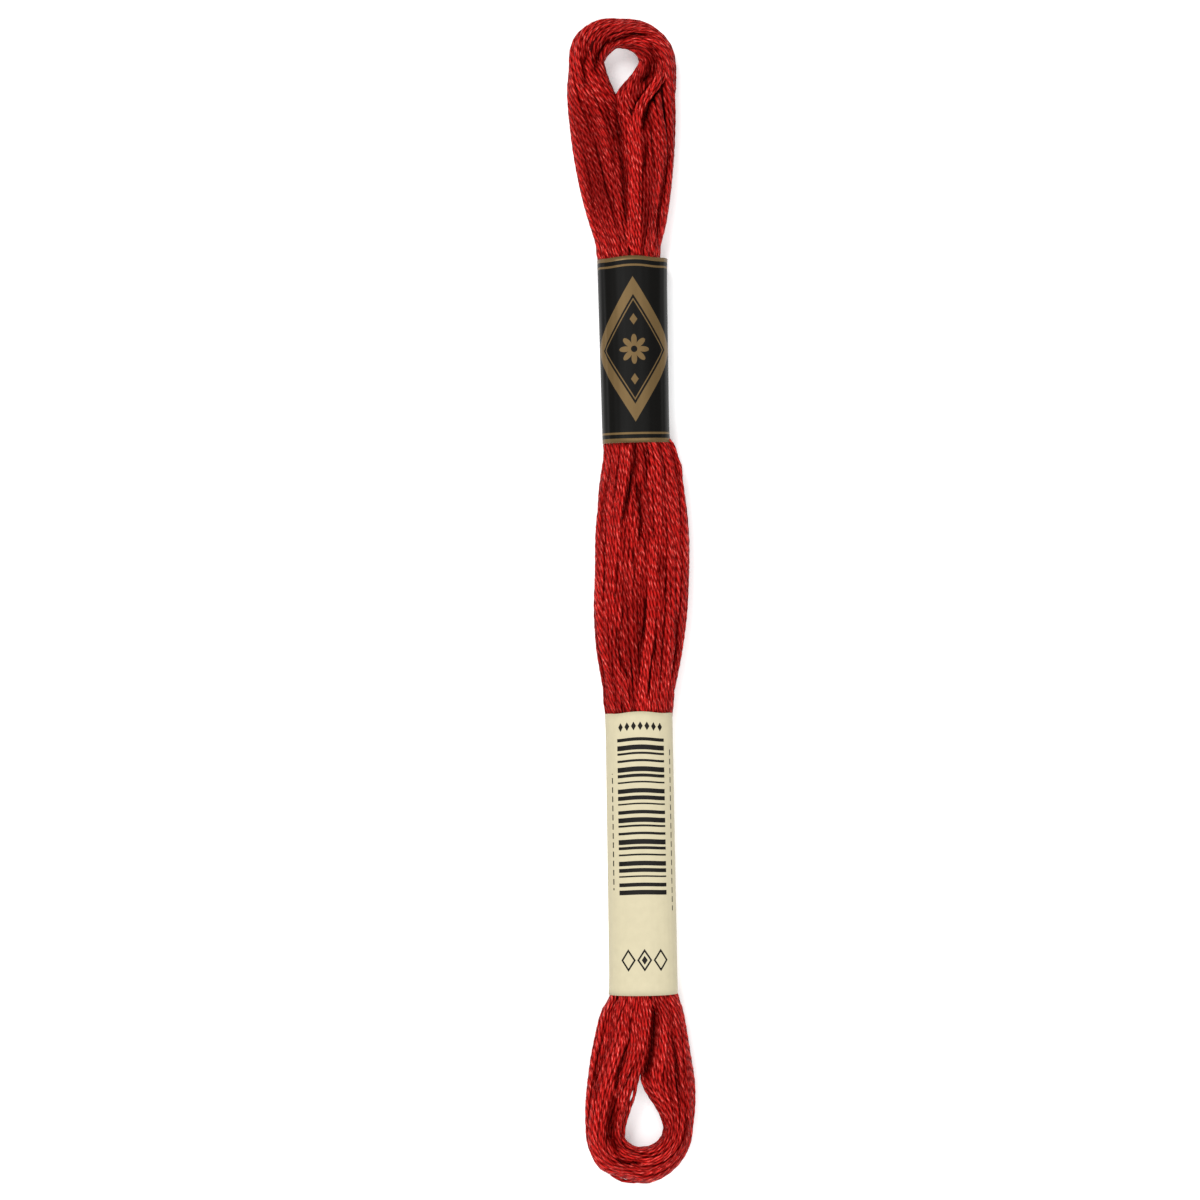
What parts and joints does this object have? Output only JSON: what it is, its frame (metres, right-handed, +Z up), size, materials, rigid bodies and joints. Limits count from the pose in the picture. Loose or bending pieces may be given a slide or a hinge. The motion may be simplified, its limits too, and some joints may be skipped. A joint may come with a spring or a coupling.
{
  "type": "skein of embroidery cotton",
  "caption": "Pull skein of stranded embroidery cotton, a flattened hank with an open loop at each end, held by a short dark and a long pale paper band.",
  "frame": {"origin": "on the surface that the skein lies on, under the middle of its length and width", "axes": "+Y along the skein towards the loop by the short dark band, +Z up from the surface, +X to the right as seen from above with +Y away"},
  "size_m": [0.0179, 0.1639, 0.0079],
  "materials": {
    "thread": "satin",
    "dark_paper": "satin",
    "pale_paper": "matte"
  },
  "bodies": {
    "root": {"skein": "thread", "upper_band": "dark_paper", "lower_band": "pale_paper"}
  },
  "joints": []
}
